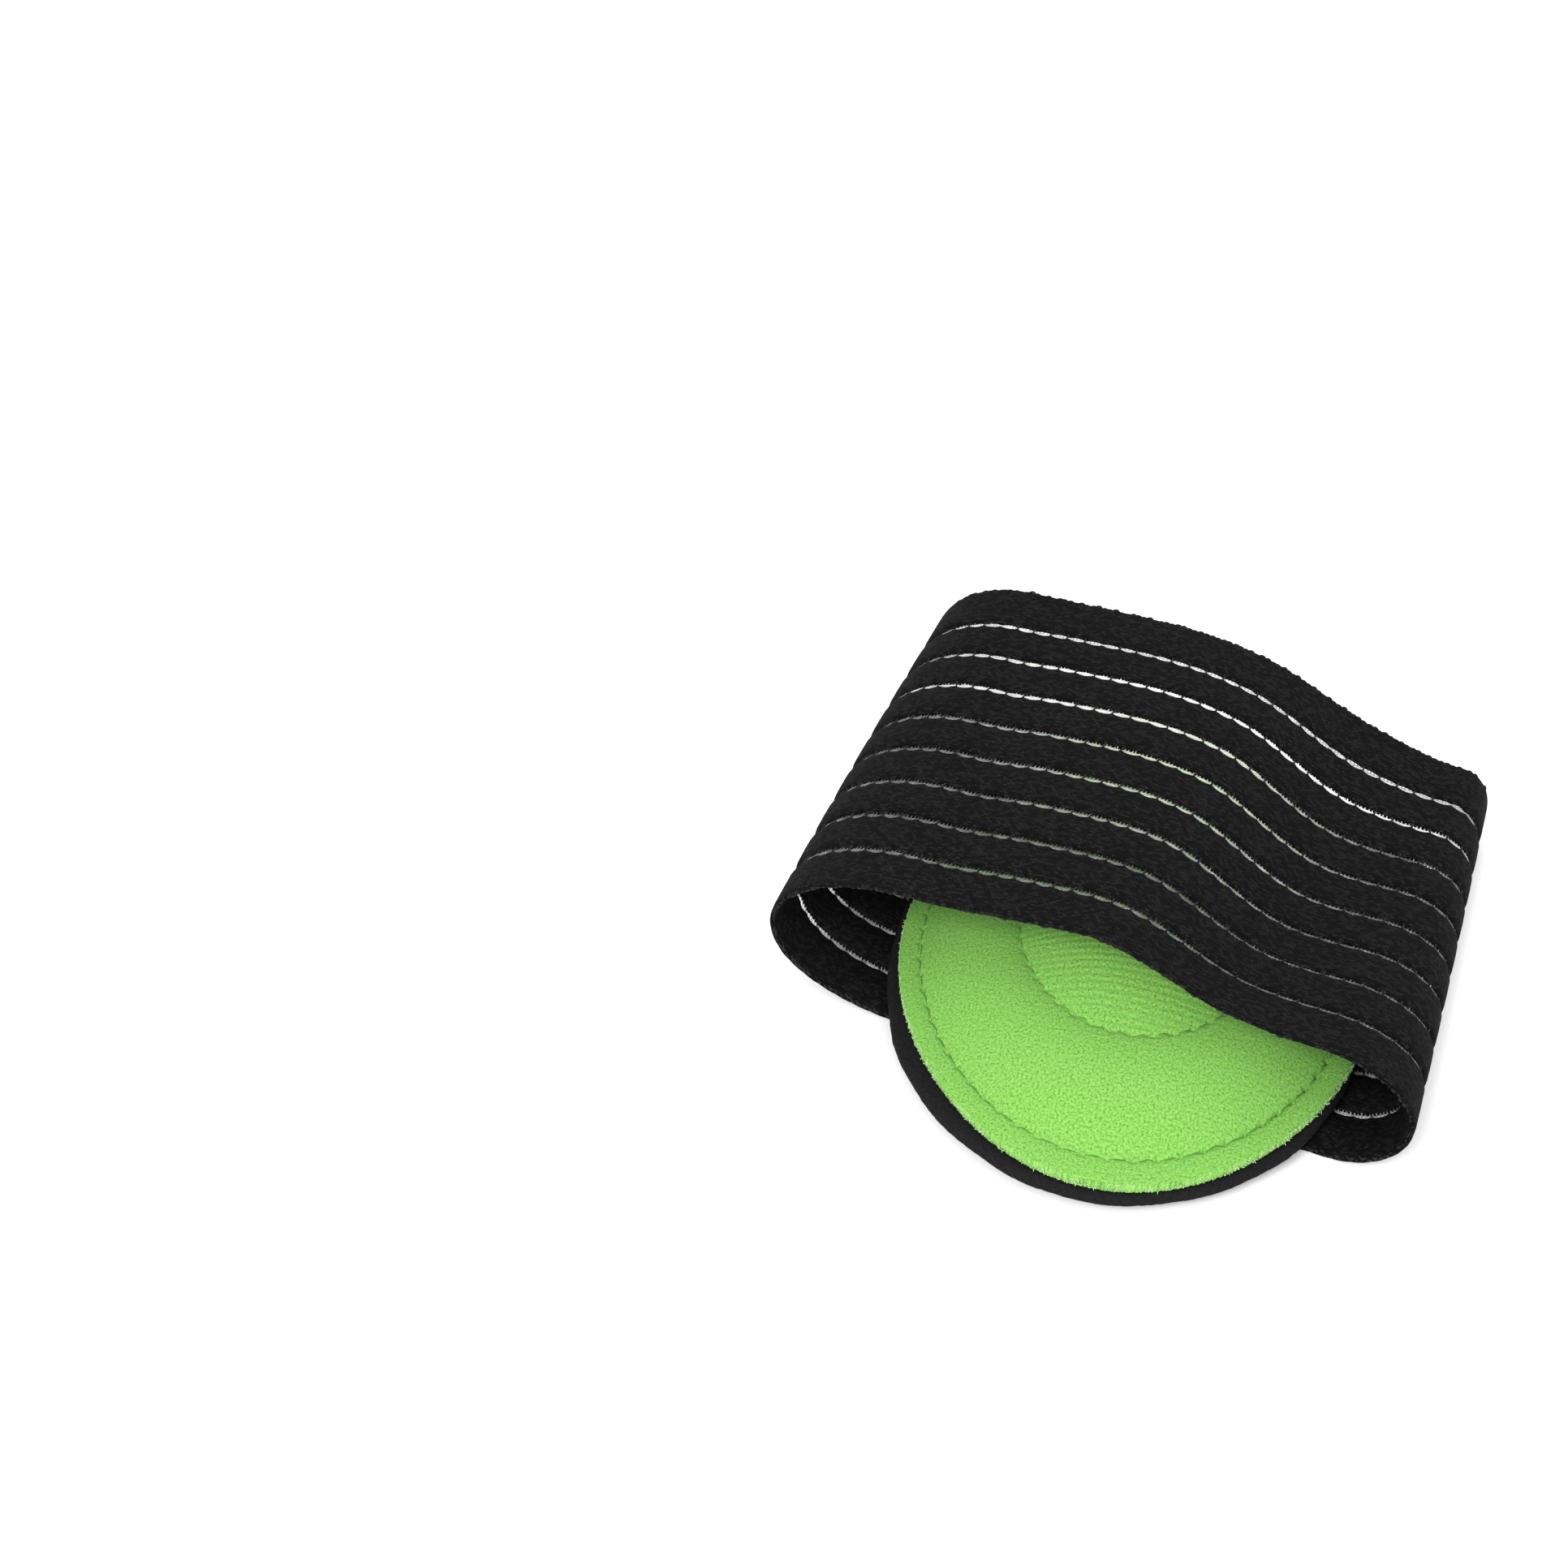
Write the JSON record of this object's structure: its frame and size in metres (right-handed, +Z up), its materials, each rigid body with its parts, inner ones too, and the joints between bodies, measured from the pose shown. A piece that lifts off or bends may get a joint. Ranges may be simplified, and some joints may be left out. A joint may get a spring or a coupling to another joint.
{
  "type": "arch support pad",
  "caption": "Oval domed foot cushion with a sewn rim on a flat backing, held inside a ribbed elastic knit sleeve that slips over the midfoot to support the arch.",
  "frame": {"origin": "on the floor, under the middle of the object's box", "axes": "+Z up from the floor, -Y towards the end where the cushion sticks out of the sleeve, +X along the sleeve's flat length"},
  "size_m": [0.1015, 0.1042, 0.0272],
  "materials": {
    "elastic_knit": "black ribbed elastic knit, matt with a faint sheen on the fibres",
    "backing_cloth": "black brushed cloth, matt",
    "loop_cover": "bright green short loop knit over foam, matt and slightly fuzzy"
  },
  "bodies": {
    "root": {"sleeve_band": "elastic_knit", "pad_backing": "backing_cloth", "arch_pad": "loop_cover"}
  },
  "joints": []
}
